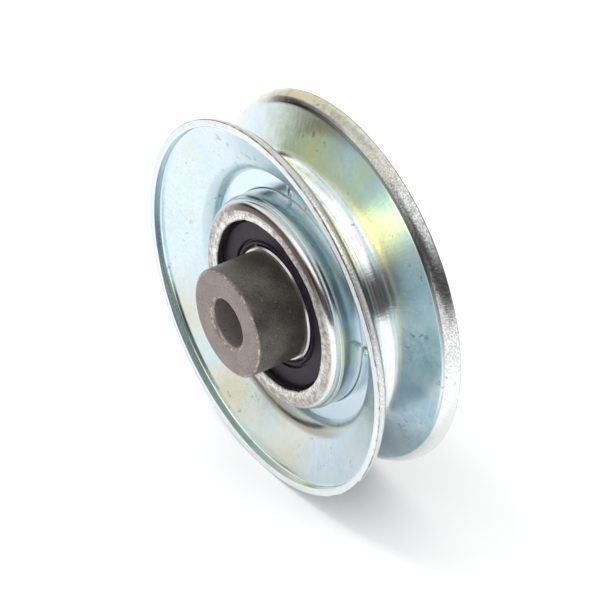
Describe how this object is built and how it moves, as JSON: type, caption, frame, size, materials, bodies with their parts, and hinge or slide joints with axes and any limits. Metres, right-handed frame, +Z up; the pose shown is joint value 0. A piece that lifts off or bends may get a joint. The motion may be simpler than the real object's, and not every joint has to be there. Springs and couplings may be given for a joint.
{
  "type": "V-belt idler pulley",
  "caption": "V-belt idler pulley pressed from two plated sheet-steel flanges, turning on a sealed ball bearing round a sintered spacer bushing with a bolt bore.",
  "frame": {"origin": "on the wheel's axis, in the plane where the two flanges meet", "axes": "+Y along the axis away from the bushing side, so -Y is the front; +Z up"},
  "size_m": [0.0752, 0.0259, 0.0752],
  "materials": {
    "zinc_plated_sheet": "bright blue zinc plating on pressed sheet, with faint straw and teal tints",
    "zinc_plated_housing": "zinc plating, worn to mottled bare steel on the rolled-in ends",
    "bearing_steel": "ground bearing steel",
    "ball_steel": "polished",
    "cage_steel": "pressed steel strip",
    "core_steel": "plain pressed steel",
    "seal_rubber": "matte black nitrile rubber",
    "sintered_iron": "sintered iron, oil-darkened, with a paler pressed face"
  },
  "bodies": {
    "hub": {"bushing": "sintered_iron", "inner_ring": "bearing_steel"},
    "pulley": {"front_flange": "zinc_plated_sheet", "rear_flange": "zinc_plated_sheet", "bearing_housing": "zinc_plated_housing", "outer_ring": "bearing_steel", "front_seal_rubber": "seal_rubber", "front_seal_core": "core_steel", "rear_seal_rubber": "seal_rubber", "rear_seal_core": "core_steel"},
    "cage": {"cage_front": "cage_steel", "cage_rear": "cage_steel", "cage_rivets": "cage_steel"},
    "ball_1": {"ball_1": "ball_steel"},
    "ball_2": {"ball_2": "ball_steel"},
    "ball_3": {"ball_3": "ball_steel"},
    "ball_4": {"ball_4": "ball_steel"},
    "ball_5": {"ball_5": "ball_steel"},
    "ball_6": {"ball_6": "ball_steel"},
    "ball_7": {"ball_7": "ball_steel"},
    "ball_8": {"ball_8": "ball_steel"}
  },
  "joints": [
    {"name": "pulley_spin", "type": "hinge", "parent": "hub", "child": "pulley", "pos_m": [0, 0, 0], "axis": [0, 1, 0], "continuous": true},
    {"name": "cage_spin", "type": "hinge", "parent": "hub", "child": "cage", "pos_m": [0, 0, 0], "axis": [0, 1, 0], "continuous": true},
    {"name": "ball_1_spin", "type": "hinge", "parent": "cage", "child": "ball_1", "pos_m": [0.01425, 0, 0], "axis": [0, 1, 0], "continuous": true},
    {"name": "ball_2_spin", "type": "hinge", "parent": "cage", "child": "ball_2", "pos_m": [0.01008, 0, 0.01008], "axis": [0, 1, 0], "continuous": true},
    {"name": "ball_3_spin", "type": "hinge", "parent": "cage", "child": "ball_3", "pos_m": [0, 0, 0.01425], "axis": [0, 1, 0], "continuous": true},
    {"name": "ball_4_spin", "type": "hinge", "parent": "cage", "child": "ball_4", "pos_m": [-0.01008, 0, 0.01008], "axis": [0, 1, 0], "continuous": true},
    {"name": "ball_5_spin", "type": "hinge", "parent": "cage", "child": "ball_5", "pos_m": [-0.01425, 0, 0], "axis": [0, 1, 0], "continuous": true},
    {"name": "ball_6_spin", "type": "hinge", "parent": "cage", "child": "ball_6", "pos_m": [-0.01008, 0, -0.01008], "axis": [0, 1, 0], "continuous": true},
    {"name": "ball_7_spin", "type": "hinge", "parent": "cage", "child": "ball_7", "pos_m": [0, 0, -0.01425], "axis": [0, 1, 0], "continuous": true},
    {"name": "ball_8_spin", "type": "hinge", "parent": "cage", "child": "ball_8", "pos_m": [0.01008, 0, -0.01008], "axis": [0, 1, 0], "continuous": true}
  ],
  "couplings": [
    {"joint": "cage_spin", "follows": "pulley_spin", "ratio": 0.61837},
    {"joint": "ball_1_spin", "follows": "pulley_spin", "ratio": 1.9937},
    {"joint": "ball_2_spin", "follows": "pulley_spin", "ratio": 1.9937},
    {"joint": "ball_3_spin", "follows": "pulley_spin", "ratio": 1.9937},
    {"joint": "ball_4_spin", "follows": "pulley_spin", "ratio": 1.9937},
    {"joint": "ball_5_spin", "follows": "pulley_spin", "ratio": 1.9937},
    {"joint": "ball_6_spin", "follows": "pulley_spin", "ratio": 1.9937},
    {"joint": "ball_7_spin", "follows": "pulley_spin", "ratio": 1.9937},
    {"joint": "ball_8_spin", "follows": "pulley_spin", "ratio": 1.9937}
  ]
}
